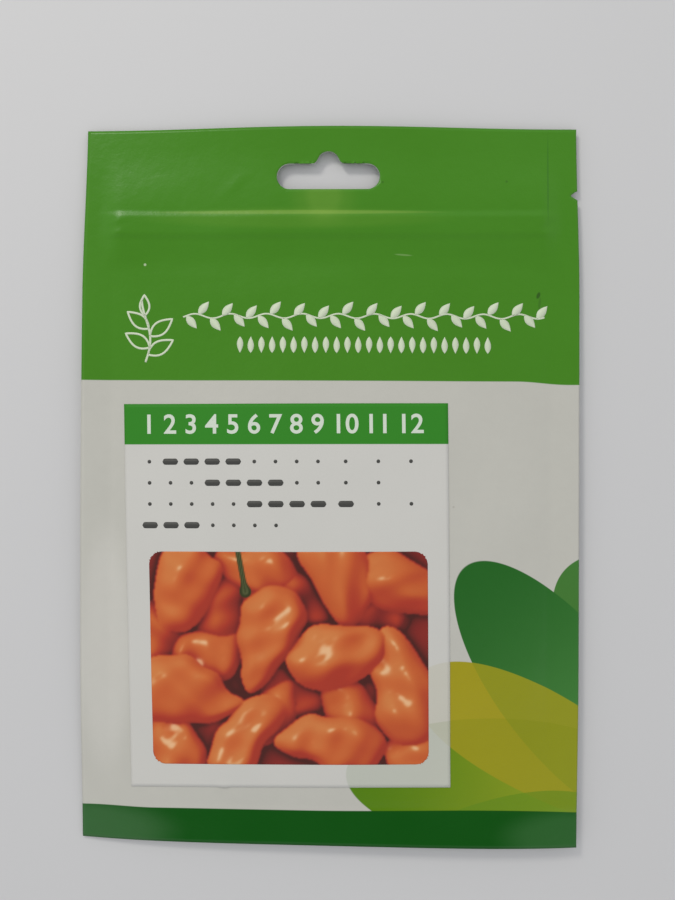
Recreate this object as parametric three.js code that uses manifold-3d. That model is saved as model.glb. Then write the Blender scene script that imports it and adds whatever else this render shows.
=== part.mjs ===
// A flat resealable seed packet lying on its back: two printed foil-laminate films welded round
// the rim, a press-to-close zip of two interlocking strips, a paper label and the seeds inside.
// Millimetres, +Z up. The origin is on the surface it lies on, below the middle of its outline,
// +Y points to the edge with the hanging slot, and the printed front faces +Z.
import * as THREE from "three";
import { mergeVertices } from "three/addons/utils/BufferGeometryUtils.js";
import Module from "manifold-3d";

// Driving dimensions.
const PACKET = { width: 120, height: 173.2, film: 0.14, weld: 0.05 };
const SEAL = { side: 7, bottom: 9 };
const SLOT = { x: -0.45, y: 74.6, width: 24.9, height: 6.2, archRadius: 2.7, archTop: 9.1, fillet: 1.2 };
const NOTCH = { y: 70, mouth: 2.3, depth: 1.5, tip: 0.3 };
const CUT = { from: -10, depth: 30 };
const ZIP = { y: 63.8, spacing: 4, gap: 1.2, halfLength: 50.5, tape: 9.6 };
// The zip holds the films apart around it, fully between two heights and out to near its ends,
// and presses the back down by a share of that. The front film steps up onto its flat top.
const SPREAD = { from: 50, full: 61, fullTo: 66.5, to: 82, endsFrom: 50.9, endsTo: 56.5, back: 0.38 };
const STEP = { height: 0.36, from: 59.2, full: 61.2, fullTo: 64.8, to: 66.6 };
const BELLY = { depth: 3.7, top: 62 };
const LABEL = {
  topLeft: [-49.7, 19.4], topRight: [28.6, 19.9], bottomLeft: [-47.6, -73.5], bottomRight: [29.7, -72.4],
  thickness: 0.1, gap: 0.06,
};
const SEED = { length: 3.8, width: 3.4, thickness: 0.9, lift: 0.15 };
const BED = { x: 1, y: -58, rows: 6, columns: 11, pitch: 3.3, rowPitch: 2.77, rounding: 0.62, stray: 0.3 };
const SEED_TILT = 0.08;

// Height of the packet's rim above the surface: its corners, and how far each edge arches between them.
const RIM = { topLeft: 0.9, topRight: 1.1, bottomLeft: 0.25, bottomRight: 2.4 };
const ARCH = { left: 1.9, right: 0.4, top: 1.3, bottom: 1 };
// How far in from each edge the back still lies off the surface, and the power it rises by.
const CURL = { side: [30, 1.6], top: [50, 1.6], bottom: [28, 1.6] };
// The sides draw in a little towards the top and bottom corners, as a share of the half width.
const PINCH = { top: 0.0135, bottom: 0.006, from: 45 };
// The top and bottom edges bow out a little: how far their corners lie back from their middles.
const BOW = { top: 0.6, bottom: 0.55, from: 70 };

const HALF_W = PACKET.width / 2;
const HALF_H = PACKET.height / 2;
const INNER_X = HALF_W - SEAL.side;
const INNER_Y = -HALF_H + SEAL.bottom;

const COLOURS = { film: "#4a8629", back: "#b9b8ae", zip: "#e9ece6", label: "#d9d7d0", seed: "#dcc48a" };

const wasm = await Module();
wasm.setup();

const mix = THREE.MathUtils.lerp;
const smooth = (from, to, value) => THREE.MathUtils.smoothstep((value - from) / (to - from), 0, 1);

// A share from 0, well inside the packet, to 1 at an edge.
function curl(distanceFromEdge, [reach, power]) {
  return Math.max(0, 1 - distanceFromEdge / reach) ** power;
}

// How far the zip holds the films apart.
function zipThickness(x, y) {
  const along = 1 - smooth(SPREAD.endsFrom, SPREAD.endsTo, Math.abs(x));
  return ZIP.gap * along * smooth(SPREAD.from, SPREAD.full, y) * (1 - smooth(SPREAD.fullTo, SPREAD.to, y));
}

// Height of the back's underside: zero over the middle, and a patch blended from its four edges,
// less the corners that both directions count and what the zip presses down.
function under(x, y) {
  const across = (x + HALF_W) / PACKET.width;
  const along = (y + HALF_H) / PACKET.height;
  const left = curl(HALF_W + x, CURL.side);
  const right = curl(HALF_W - x, CURL.side);
  const top = curl(HALF_H - y, CURL.top);
  const bottom = curl(HALF_H + y, CURL.bottom);
  const leftEdge = mix(RIM.bottomLeft, RIM.topLeft, along) + ARCH.left * Math.sin(Math.PI * along);
  const rightEdge = mix(RIM.bottomRight, RIM.topRight, along) + ARCH.right * Math.sin(Math.PI * along);
  const topEdge = mix(RIM.topLeft, RIM.topRight, across) + ARCH.top * Math.sin(Math.PI * across) ** 2;
  const bottomEdge = mix(RIM.bottomLeft, RIM.bottomRight, across) + ARCH.bottom * (1 - (2 * across - 1) ** 4);
  const corners = RIM.topLeft * left * top + RIM.topRight * right * top +
    RIM.bottomLeft * left * bottom + RIM.bottomRight * right * bottom;
  const patch = leftEdge * left + rightEdge * right + topEdge * top + bottomEdge * bottom - corners;
  return patch - SPREAD.back * zipThickness(x, y);
}

// Clear distance between the two films: the welded rim, the zip and its step, and the belly below it.
function between(x, y) {
  const inside = Math.max(0, 1 - (x / INNER_X) ** 2);
  const up = THREE.MathUtils.clamp((y - INNER_Y) / (BELLY.top - INNER_Y), 0, 1);
  const belly = BELLY.depth * inside ** 0.8 * Math.sin(Math.PI * up ** 0.8) ** 0.9;
  const zip = zipThickness(x, y);
  const step = (zip / ZIP.gap) * smooth(STEP.from, STEP.full, y) * (1 - smooth(STEP.fullTo, STEP.to, y));
  return PACKET.weld + Math.hypot(belly, zip) + STEP.height * step;
}

const backInside = (x, y) => under(x, y) + PACKET.film;
const frontInside = (x, y) => backInside(x, y) + between(x, y);
const frontOutside = (x, y) => frontInside(x, y) + PACKET.film;

// Where a point of the flat film comes to lie across the packet.
function drawnIn(x, y) {
  return x * (1 - PINCH.top * smooth(PINCH.from, HALF_H, y) - PINCH.bottom * smooth(PINCH.from, HALF_H, -y));
}

// Where it comes to lie along the packet.
function bowedOut(x, y) {
  const top = BOW.top * smooth(BOW.from, HALF_H, y) * Math.sin((Math.PI * x) / PACKET.width) ** 2;
  const bottom = BOW.bottom * smooth(BOW.from, HALF_H, -y) * (x / HALF_W) ** 4;
  return y - top + bottom;
}

// Grid lines, closer together where the film turns: at the welds, and at the step onto the zip.
const halfColumns = [9.5, 19, 28, 36, 43, 48, 51, 52.8, 54.6, 56.5, HALF_W];
const columns = [...halfColumns.map((x) => -x).reverse(), 0, ...halfColumns];
const lowerRows = [
  -HALF_H, -81.5, -77.5, -75.5, -72, -67, -61, -54, -46, -37, -28, -18, -8, 2, 12, 22, 31, 39, 46, 52,
];
const zipRows = [54.5, 57, 59.2, 59.9, 60.5, 61.2, 63, 64.8, 65.4, 66, 66.6, 68.4, 70.2, 71.8];
const upperRows = [73.5, 75.2, 78, 82, HALF_H];
const rows = [...lowerRows, ...zipRows, ...upperRows];

// A film on those grid lines: a flat box whose vertices are moved to the columns and rows, with
// its lower and upper faces raised by two functions of x and y. The box splits the cells of its
// lower face the other way, so they are split again along the upper face's diagonals: the facets
// of the two films then stay parallel in the welds.
function film(lower, upper) {
  const nx = columns.length - 1;
  const ny = rows.length - 1;
  const box = new THREE.BoxGeometry(1, 1, 1, nx, ny, 1);
  const p = box.getAttribute("position");
  for (let i = 0; i < p.count; i++) {
    const x = columns[Math.round((p.getX(i) + 0.5) * nx)];
    const y = rows[Math.round((p.getY(i) + 0.5) * ny)];
    p.setXYZ(i, drawnIn(x, y), bowedOut(x, y), p.getZ(i) > 0 ? upper(x, y) : lower(x, y));
  }
  const index = box.getIndex();
  const lowerFace = box.groups[5];
  for (let i = lowerFace.start; i < lowerFace.start + lowerFace.count; i += 6) {
    const [a, b, c, d] = [0, 1, 4, 5].map((corner) => index.getX(i + corner));
    [a, b, c, a, c, d].forEach((vertex, n) => index.setX(i + n, vertex));
  }
  return box;
}

// A closed geometry as a solid for cutting and joining, and a solid back as a geometry.
function solidOf(geometry) {
  const bare = geometry.clone();
  bare.deleteAttribute("normal");
  bare.deleteAttribute("uv");
  const merged = mergeVertices(bare, 1e-4);
  return new wasm.Manifold(new wasm.Mesh({
    numProp: 3,
    vertProperties: merged.getAttribute("position").array,
    triVerts: new Uint32Array(merged.index.array),
  }));
}

function geometryOf(solid) {
  const { vertProperties, triVerts } = solid.getMesh();
  return new THREE.BufferGeometry()
    .setAttribute("position", new THREE.BufferAttribute(vertProperties, 3))
    .setIndex(new THREE.BufferAttribute(triVerts, 1));
}

// The hanging slot: a bar with full round ends and an arch above its middle, with filleted shoulders.
function slotCutter() {
  const r = SLOT.height / 2;
  const end = SLOT.width / 2 - r;
  const archY = SLOT.archTop - r - SLOT.archRadius;
  const filletY = r + SLOT.fillet;
  const rise = filletY - archY;
  const filletX = Math.sqrt((SLOT.archRadius + SLOT.fillet) ** 2 - rise ** 2);
  const lean = Math.atan2(rise, filletX);
  const outline = new THREE.Shape();
  outline.moveTo(-end, -r);
  outline.lineTo(end, -r);
  outline.absarc(end, 0, r, -Math.PI / 2, Math.PI / 2, false);
  outline.absarc(filletX, filletY, SLOT.fillet, -Math.PI / 2, -Math.PI + lean, true);
  outline.absarc(0, archY, SLOT.archRadius, lean, Math.PI - lean, false);
  outline.absarc(-filletX, filletY, SLOT.fillet, -lean, -Math.PI / 2, true);
  outline.absarc(-end, 0, r, Math.PI / 2, Math.PI * 1.5, false);
  const cut = { depth: CUT.depth, bevelEnabled: false, curveSegments: 8 };
  return new THREE.ExtrudeGeometry(outline, cut).translate(SLOT.x, SLOT.y, CUT.from);
}

// The tear notch: a small V in the right edge, between the slot and the zip, cut from past the edge.
function notchCutter() {
  const half = NOTCH.mouth / 2;
  const past = 1;
  const outline = new THREE.Shape();
  outline.moveTo(-NOTCH.depth, -NOTCH.tip / 2);
  outline.lineTo(0, -half);
  outline.lineTo(past, -half);
  outline.lineTo(past, half);
  outline.lineTo(0, half);
  outline.lineTo(-NOTCH.depth, NOTCH.tip / 2);
  const cutter = new THREE.ExtrudeGeometry(outline, { depth: CUT.depth, bevelEnabled: false });
  return cutter.translate(drawnIn(HALF_W, NOTCH.y), NOTCH.y, CUT.from);
}

const holes = solidOf(slotCutter()).add(solidOf(notchCutter()));
const punched = (geometry) => geometryOf(solidOf(geometry).subtract(holes));

const frontFilm = () => punched(film(frontInside, frontOutside));
const backFilm = () => punched(film(under, backInside));

// A zip strip: its section (y across the zip, height above the back film's inner face) carried
// along the packet, and lifted with the film that it is welded to.
function zipStrip(outline) {
  const steps = 12;
  const length = 2 * ZIP.halfLength;
  const strip = new THREE.ExtrudeGeometry(outline, { depth: length, steps, bevelEnabled: false });
  const p = strip.getAttribute("position");
  for (let i = 0; i < p.count; i++) {
    const x = p.getZ(i) - ZIP.halfLength;
    const y = p.getX(i) + ZIP.y;
    p.setXYZ(i, x, y, p.getY(i) + backInside(x, y));
  }
  return strip;
}

// The strip with two barbed ribs, on the back film.
function ribStrip() {
  const tape = { low: 0.05, high: 0.2 };
  const barb = { under: 0.62, top: 0.85, half: 0.38, tip: 0.13, stem: 0.17 };
  const half = ZIP.tape / 2;
  const outline = new THREE.Shape();
  outline.moveTo(-half, tape.low);
  outline.lineTo(half, tape.low);
  outline.lineTo(half, tape.high);
  for (const y of [ZIP.spacing / 2, -ZIP.spacing / 2]) {
    outline.lineTo(y + barb.stem, tape.high);
    outline.lineTo(y + barb.stem, barb.under);
    outline.lineTo(y + barb.half, barb.under);
    outline.lineTo(y + barb.tip, barb.top);
    outline.lineTo(y - barb.tip, barb.top);
    outline.lineTo(y - barb.half, barb.under);
    outline.lineTo(y - barb.stem, barb.under);
    outline.lineTo(y - barb.stem, tape.high);
  }
  outline.lineTo(-half, tape.high);
  return zipStrip(outline);
}

// The strip with two lipped grooves, under the front film, each holding a rib.
function grooveStrip() {
  const tape = { low: ZIP.gap - 0.25, high: ZIP.gap - 0.1 };
  const jaw = { outer: 0.8, inner: 0.5, lip: 0.28, lipTop: 0.55, end: 0.36 };
  const half = ZIP.tape / 2;
  const outline = new THREE.Shape();
  outline.moveTo(half, tape.high);
  outline.lineTo(-half, tape.high);
  outline.lineTo(-half, tape.low);
  for (const y of [-ZIP.spacing / 2, ZIP.spacing / 2]) {
    for (const side of [-1, 1]) {
      const wall = [
        [jaw.outer, tape.low], [jaw.outer, jaw.end], [jaw.lip, jaw.end],
        [jaw.lip, jaw.lipTop], [jaw.inner, jaw.lipTop], [jaw.inner, tape.low],
      ];
      if (side > 0) wall.reverse();
      for (const [across, up] of wall) outline.lineTo(y + side * across, up);
    }
  }
  outline.lineTo(half, tape.low);
  return zipStrip(outline);
}

// The paper label: a thin sheet on the front film between four corners, following the film's bulge.
function label() {
  const sheet = new THREE.BoxGeometry(1, 1, 1, 12, 14, 1);
  const p = sheet.getAttribute("position");
  for (let i = 0; i < p.count; i++) {
    const across = p.getX(i) + 0.5;
    const up = p.getY(i) + 0.5;
    const [x, y] = [0, 1].map((n) => mix(
      mix(LABEL.bottomLeft[n], LABEL.bottomRight[n], across),
      mix(LABEL.topLeft[n], LABEL.topRight[n], across),
      up,
    ));
    const lower = frontOutside(x, y) + LABEL.gap;
    p.setXYZ(i, x, y, p.getZ(i) > 0 ? lower + LABEL.thickness : lower);
  }
  return sheet;
}

// A repeatable draw between 0 and 1.
function seededDraw(seed) {
  let state = seed;
  return () => {
    state = (state * 1664525 + 1013904223) % 4294967296;
    return state / 4294967296;
  };
}

// One seed at unit size: a disc with eight sides, a blunt rim and a low point above and below.
function seedDisc() {
  const ring = Math.sin(Math.PI / 3);
  return new THREE.SphereGeometry(0.5, 8, 3).rotateX(Math.PI / 2).scale(1 / ring, 1 / ring, 1);
}

// The seeds: flat discs strewn one deep in staggered rows over the back film, each a little turned
// and tilted and overlapping its neighbours, joined into one bed.
function seedBed() {
  const draw = seededDraw(7);
  const disc = seedDisc();
  const discs = [];
  for (let row = 0; row < BED.rows; row++) {
    const fromMiddle = (2 * row) / (BED.rows - 1) - 1;
    const inRow = Math.round(BED.columns * Math.sqrt(1 - BED.rounding * fromMiddle ** 2));
    const stagger = 0.25 * (row % 2);
    for (let n = 0; n < inRow; n++) {
      const x = BED.x + (n - (inRow - 1) / 2 + stagger) * BED.pitch + (draw() - 0.5) * BED.stray;
      const y = BED.y + (row - (BED.rows - 1) / 2) * BED.rowPitch + (draw() - 0.5) * BED.stray;
      const tilt = [draw(), draw()].map((value) => (value - 0.5) * SEED_TILT);
      const turned = new THREE.Euler(...tilt, draw() * Math.PI);
      const z = backInside(x, y) + SEED.lift + SEED.thickness / 2 + draw() * 0.1;
      const place = new THREE.Matrix4().compose(
        new THREE.Vector3(x, y, z),
        new THREE.Quaternion().setFromEuler(turned),
        new THREE.Vector3(SEED.length, SEED.width, SEED.thickness),
      );
      discs.push(solidOf(disc.clone().applyMatrix4(place)));
    }
  }
  return geometryOf(wasm.Manifold.union(discs));
}

function piece(name, geometry, color, roughness) {
  const mesh = new THREE.Mesh(geometry, new THREE.MeshStandardMaterial({ color, roughness, metalness: 0 }));
  mesh.name = name;
  return mesh;
}

const packet = new THREE.Group();
packet.add(
  piece("front_film", frontFilm(), COLOURS.film, 0.4),
  piece("back_film", backFilm(), COLOURS.back, 0.4),
  piece("zip_groove_strip", grooveStrip(), COLOURS.zip, 0.5),
  piece("zip_rib_strip", ribStrip(), COLOURS.zip, 0.5),
  piece("label", label(), COLOURS.label, 0.6),
  piece("seeds", seedBed(), COLOURS.seed, 0.7),
);

export default packet;
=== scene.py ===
"""The looks of a flat resealable seed packet: printed films, paper label, print, zip and seeds.

Shapes are worked out in millimetres as whole numpy arrays, and turned to metres in piece().
"""
import math

import bmesh
import bpy
import numpy as np
from mathutils import Matrix


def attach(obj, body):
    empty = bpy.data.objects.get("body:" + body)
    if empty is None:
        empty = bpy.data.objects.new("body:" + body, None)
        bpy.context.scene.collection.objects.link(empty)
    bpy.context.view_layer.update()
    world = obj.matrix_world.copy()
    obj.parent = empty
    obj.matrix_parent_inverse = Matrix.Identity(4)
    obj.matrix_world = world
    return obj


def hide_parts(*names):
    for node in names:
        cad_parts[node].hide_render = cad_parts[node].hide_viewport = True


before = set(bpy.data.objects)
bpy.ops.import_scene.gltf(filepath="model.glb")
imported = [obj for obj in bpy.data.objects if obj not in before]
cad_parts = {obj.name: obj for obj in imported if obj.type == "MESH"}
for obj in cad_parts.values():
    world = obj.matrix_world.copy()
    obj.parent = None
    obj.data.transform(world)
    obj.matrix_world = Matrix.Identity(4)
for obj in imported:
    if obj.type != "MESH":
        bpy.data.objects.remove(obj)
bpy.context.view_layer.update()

MM = 0.001

# Measures of the packet in millimetres, as in the part: its size, slot, notch and belly.
WIDTH, HEIGHT = 120.0, 173.2
HALF_W, HALF_H = WIDTH / 2, HEIGHT / 2
FILM, WELD = 0.14, 0.05
INNER_X, INNER_Y = 53.0, -77.6
SLOT_X, SLOT_Y, SLOT_HALF, SLOT_R = -0.45, 74.6, 9.35, 3.1
ARCH_UP, ARCH_R, FILLET = 3.3, 2.7, 1.2
NOTCH_Y, NOTCH_DEPTH, NOTCH_TIP, NOTCH_HALF = 70.0, 1.5, 0.15, 1.15
NOTCH_SLOPE = 1.2
BELLY, BELLY_TOP, BELLY_SIDES, BELLY_LEAN, BELLY_ENDS = 3.7, 62.0, 0.8, 0.8, 0.9
# The zip: its thickness, the share that the back takes, and the step onto it. Each pair says where
# it begins and where it is full, along the packet, or across it for the ends.
ZIP_GAP, ZIP_BACK, STEP = 1.2, 0.38, 0.36
ZIP_BELOW, ZIP_ABOVE, ZIP_ENDS = (50, 61), (66.5, 82), (50.9, 56.5)
STEP_BELOW, STEP_ABOVE = (59.2, 61.2), (64.8, 66.6)
# The raised rim: its height at each corner, how far each side arches, and the curl's reach and power.
# Then how the sides draw in, and how the ends bow.
RIM = {"top_left": 0.9, "top_right": 1.1, "bottom_left": 0.25, "bottom_right": 2.4}
ARCH = {"left": 1.9, "right": 0.4, "top": 1.3, "bottom": 1.0}
CURL_SIDE, CURL_TOP, CURL_BOTTOM = (30.0, 1.6), (50.0, 1.6), (28.0, 1.6)
PINCH_TOP, PINCH_BOTTOM, PINCH_FROM = 0.0135, 0.006, 45.0
BOW_TOP, BOW_BOTTOM, BOW_FROM = 0.6, 0.55, 70.0
# The label and its picture, and how far print stands on a sheet and reaches into it.
LABEL_CORNERS = np.array([[[-47.6, -73.5], [29.7, -72.4]], [[-49.7, 19.4], [28.6, 19.9]]])
LABEL_W, LABEL_H, LABEL_GAP, LABEL_THICK = 78.0, 92.7, 0.015, 0.1
LIFT_X, LIFT_Y, LIFT = -25.0, -73.2, 0.3
PICTURE_X, PICTURE_Y, PICTURE_W, PICTURE_H, PICTURE_R = 0.2, -15.0, 67.4, 51.8, 3.2
PICTURE_GAIN = np.array([1.18, 1.02, 0.72])
PICTURE_STEP = 0.28
INK, ROOT, PICTURE_GAP = 0.02, 0.01, 0.002


def linear_light(display):
    """Colours given in 0 to 255 display values, as linear light."""
    share = np.asarray(display, float) / 255
    return np.where(share < 0.04045, share / 12.92, ((share + 0.055) / 1.055) ** 2.4)


def tone(red, green, blue):
    """One colour given in display values, as linear light with full alpha."""
    return (*(float(v) for v in linear_light([red, green, blue])), 1.0)


# Heights of the sheets.


def smooth(low, high, value):
    """0 below low, 1 above high, and an S-shaped cubic between them."""
    t = np.clip((value - low) / (high - low), 0, 1)
    return t * t * (3 - 2 * t)


def bump(value, width):
    """A bell curve of value, 1 at zero and 1/e at width."""
    return np.exp(-((value / width) ** 2))


def curl(distance, reach_and_power):
    """1 at an edge, falling to 0 at reach from it, as a power of the share left."""
    reach, power = reach_and_power
    return np.maximum(0, 1 - distance / reach) ** power


def zip_thickness(x, y):
    """How far the zip holds the films apart: full over it, and fading out above, below and at its ends."""
    along = 1 - smooth(*ZIP_ENDS, np.abs(x))
    return ZIP_GAP * along * smooth(*ZIP_BELOW, y) * (1 - smooth(*ZIP_ABOVE, y))


def under(x, y):
    """Height of the back's underside: a patch blended from the four raised edges, less its corners,
    and less what the zip presses down.
    """
    across = (x + HALF_W) / WIDTH
    along = (y + HALF_H) / HEIGHT
    left, right = curl(HALF_W + x, CURL_SIDE), curl(HALF_W - x, CURL_SIDE)
    top, bottom = curl(HALF_H - y, CURL_TOP), curl(HALF_H + y, CURL_BOTTOM)
    rise = np.sin(np.pi * along)
    left_edge = RIM["bottom_left"] + (RIM["top_left"] - RIM["bottom_left"]) * along + ARCH["left"] * rise
    right_edge = RIM["bottom_right"] + (RIM["top_right"] - RIM["bottom_right"]) * along + ARCH["right"] * rise
    rise = np.sin(np.pi * across)
    top_edge = RIM["top_left"] + (RIM["top_right"] - RIM["top_left"]) * across + ARCH["top"] * rise ** 2
    bottom_edge = RIM["bottom_left"] + (RIM["bottom_right"] - RIM["bottom_left"]) * across
    bottom_edge = bottom_edge + ARCH["bottom"] * (1 - (2 * across - 1) ** 4)
    corners = RIM["top_left"] * left * top + RIM["top_right"] * right * top
    corners = corners + RIM["bottom_left"] * left * bottom + RIM["bottom_right"] * right * bottom
    patch = left_edge * left + right_edge * right + top_edge * top + bottom_edge * bottom - corners
    return patch - ZIP_BACK * zip_thickness(x, y)


def between(x, y):
    """Clear distance between the films: the weld, the belly and the zip, and the step onto the zip."""
    inside = np.maximum(0, 1 - (x / INNER_X) ** 2)
    up = np.clip((y - INNER_Y) / (BELLY_TOP - INNER_Y), 0, 1)
    belly = BELLY * inside ** BELLY_SIDES * np.maximum(0, np.sin(np.pi * up ** BELLY_LEAN)) ** BELLY_ENDS
    zipper = zip_thickness(x, y)
    step = zipper / ZIP_GAP * smooth(*STEP_BELOW, y) * (1 - smooth(*STEP_ABOVE, y))
    return WELD + np.hypot(belly, zipper) + STEP * step


# Creases of the front film: start, end, height and width.
CREASES = [
    ((-19, 77), (-27, 69.5), 0.12, 1.3),
    ((18, 50), (13.5, 37), 0.07, 0.7),
    ((-34, 44), (8, 50.5), 0.10, 3.0),
    ((28, 56), (46, 51), -0.10, 2.2),
    ((-50.5, 61.5), (-53.5, 60.2), 0.16, 0.7),
    ((-50.0, 64.5), (-54.5, 63.0), 0.14, 0.6),
    ((50.5, 60.8), (54.5, 64.0), -0.14, 0.7),
    ((34, -20), (44, 14), 0.08, 2.4),
    ((46, -60), (53, -30), 0.08, 2.0),
]
CREASE_FADE, WAVINESS = 0.8, 0.035
# The films' distance at which the wear begins, and at which it is full.
WEAR_GAPS = (0.05, 0.9)


def fold(x, y, start, end, height, width):
    """A crease from start to end: a bell-shaped ridge across the line, fading out at both ends."""
    (ax, ay), (bx, by) = start, end
    length = math.hypot(bx - ax, by - ay)
    along = ((x - ax) * (bx - ax) + (y - ay) * (by - ay)) / length ** 2
    across = ((x - ax) * (by - ay) - (y - ay) * (bx - ax)) / length
    return height * bump(across, width) * bump(2 * along - 1, CREASE_FADE)


def wear(x, y):
    """Fine relief of the front film: soft creases, crimps at the zip's end and a slow waviness."""
    relief = sum(fold(x, y, *crease) for crease in CREASES)
    slow = np.sin(0.21 * x + 0.9) * np.sin(0.16 * y) + 0.6 * np.sin(0.13 * x - 0.27 * y + 2.0)
    return relief + WAVINESS * slow


def back_inside(x, y):
    """Height of the back film's inner face: the underside and the film's thickness."""
    return under(x, y) + FILM


def front_inside(x, y):
    """Height of the front film's inner face: the back's, the gap, and wear where the gap is open."""
    gap = between(x, y)
    return back_inside(x, y) + gap + wear(x, y) * smooth(*WEAR_GAPS, gap)


def front_outside(x, y):
    """Height of the printed face: the front's inner face and the film's thickness."""
    return front_inside(x, y) + FILM


def drawn_in(x, y):
    """Where a point of the flat film comes to lie across: x, less a share that grows to each end."""
    top, bottom = smooth(PINCH_FROM, HALF_H, y), smooth(PINCH_FROM, HALF_H, -y)
    return x * (1 - PINCH_TOP * top - PINCH_BOTTOM * bottom)


def bowed_out(x, y):
    """Where it comes to lie along the packet: y, drawn in toward the corners.

    That goes by a squared sine of x at the top, and by x to the fourth power at the bottom.
    """
    top = BOW_TOP * smooth(BOW_FROM, HALF_H, y) * np.sin(np.pi * x / WIDTH) ** 2
    return y - top + BOW_BOTTOM * smooth(BOW_FROM, HALF_H, -y) * (x / HALF_W) ** 4


def on_label(across, up):
    """Label places, from its middle, as packet places: a share of the way between its corners."""
    s, t = across / LABEL_W + 0.5, up / LABEL_H + 0.5
    (low_left, low_right), (high_left, high_right) = LABEL_CORNERS
    return tuple((1 - t) * ((1 - s) * low_left[n] + s * low_right[n])
                 + t * ((1 - s) * high_left[n] + s * high_right[n]) for n in (0, 1))


def label_lower(x, y):
    """The label lies a hair above the film, and is lifted at one spot of its lower edge."""
    lift = LIFT * bump(x - LIFT_X, 1.0) * bump(y - LIFT_Y, 0.8)
    return front_outside(x, y) + LABEL_GAP + lift


def label_upper(x, y):
    """Height of the label's printed face: its lower face and the paper's thickness."""
    return label_lower(x, y) + LABEL_THICK


# Meshes.


def piece(name, points, faces, materials, face_material=None, flat=None):
    """A mesh object from points in millimetres and faces, with a look for each kind of face."""
    mesh = bpy.data.meshes.new(name)
    faces = faces if isinstance(faces, list) else faces.tolist()
    mesh.from_pydata((np.asarray(points) * MM).tolist(), [], faces)
    count = len(mesh.polygons)
    if face_material is not None:
        mesh.polygons.foreach_set("material_index", np.asarray(face_material, np.int32))
    rounded = np.ones(count, bool) if flat is None else ~np.asarray(flat)
    mesh.polygons.foreach_set("use_smooth", rounded)
    mesh.update()
    for material in materials:
        mesh.materials.append(material)
    ob = bpy.data.objects.new(name, mesh)
    bpy.context.scene.collection.objects.link(ob)
    return ob


def closed_sheet(x, y, top, bottom, keep=None):
    """Points, faces and face kinds of a sheet on the grid x, y between the heights top and bottom.

    Kept cells give one face above and one below, and every edge that only one kept cell has gives
    a wall. Kinds are 0 above, 1 below and 2 for walls.
    """
    rows, cols = x.shape
    number = np.arange(rows * cols).reshape(rows, cols)
    cells = np.stack([number[:-1, :-1], number[:-1, 1:], number[1:, 1:], number[1:, :-1]], -1)
    cells = cells.reshape(-1, 4) if keep is None else cells[keep]
    starts = cells.ravel()
    ends = np.roll(cells, -1, axis=1).ravel()
    total = rows * cols
    single = ~np.isin(starts * total + ends, ends * total + starts)
    a, b = starts[single], ends[single]
    walls = np.stack([b, a, a + total, b + total], -1)
    faces = np.concatenate([cells, cells[:, ::-1] + total, walls])
    points = np.concatenate([
        np.stack([x, y, top], -1).reshape(-1, 3),
        np.stack([x, y, bottom], -1).reshape(-1, 3),
    ])
    kinds = np.repeat([0, 1, 2], [len(cells), len(cells), len(walls)])
    used = np.unique(faces)
    place = np.zeros(2 * total, int)
    place[used] = np.arange(len(used))
    return points[used], place[faces], kinds, used


def joined(sheets):
    """Several closed sheets as one: their points one after another, and their faces renumbered."""
    points, faces, kinds, first = [], [], [], 0
    for sheet_points, sheet_faces, sheet_kinds, _ in sheets:
        points.append(sheet_points)
        faces.append(sheet_faces + first)
        kinds.append(sheet_kinds)
        first += len(sheet_points)
    return np.concatenate(points), np.concatenate(faces), np.concatenate(kinds)


def snapped(x, y, distance, reach):
    """Grid points within reach of the outline distance = 0 moved onto it along its slope."""
    step, flattest = 0.01, 0.25
    for _ in range(3):
        d = distance(x, y)
        slope_x = (distance(x + step, y) - d) / step
        slope_y = (distance(x, y + step) - d) / step
        size = np.maximum(slope_x ** 2 + slope_y ** 2, flattest)
        near = np.abs(d) < reach
        x = np.where(near, x - d * slope_x / size, x)
        y = np.where(near, y - d * slope_y / size, y)
    return x, y


def cut_out(x, y):
    """Distance to the hanging slot and the tear notch, negative inside them.

    The slot is a bar with round ends joined to a disc above it by a round fillet. The notch is a
    wedge in the right edge.
    """
    x, y = drawn_in(x, y), bowed_out(x, y)
    bar = np.hypot(np.maximum(np.abs(x - SLOT_X) - SLOT_HALF, 0), y - SLOT_Y) - SLOT_R
    arch = np.hypot(x - SLOT_X, y - SLOT_Y - ARCH_UP) - ARCH_R
    blend = np.hypot(np.maximum(FILLET - bar, 0), np.maximum(FILLET - arch, 0))
    slot = np.maximum(FILLET, np.minimum(bar, arch)) - blend
    inwards = drawn_in(HALF_W, NOTCH_Y) - NOTCH_DEPTH - x
    spread = (NOTCH_HALF - NOTCH_TIP) / NOTCH_DEPTH
    notch = np.maximum(inwards, (np.abs(y - NOTCH_Y) - NOTCH_TIP + spread * inwards) / NOTCH_SLOPE)
    return np.minimum(slot, notch)


def stepped(stops):
    """Grid lines from (start, step) pairs and a last end: even steps from each start to the next."""
    lines = []
    for (start, step), (end, _) in zip(stops[:-1], stops[1:]):
        lines.append(np.linspace(start, end, max(1, round((end - start) / step)), endpoint=False))
    return np.append(np.concatenate(lines), stops[-1][0])


# The films' grid lines: starts and steps, fine at the slot, the notch and the zip.
FILM_XS = [(-HALF_W, 0.85), (-15, 0.5), (14, 0.85), (58, 0.4), (HALF_W, 0)]
FILM_YS = [(-HALF_H, 0.85), (55, 0.42), (83, 0.75), (HALF_H, 0)]
FILM_SNAP, LABEL_STEP, PICTURE_SNAP = 0.34, 0.9, 0.15


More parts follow.
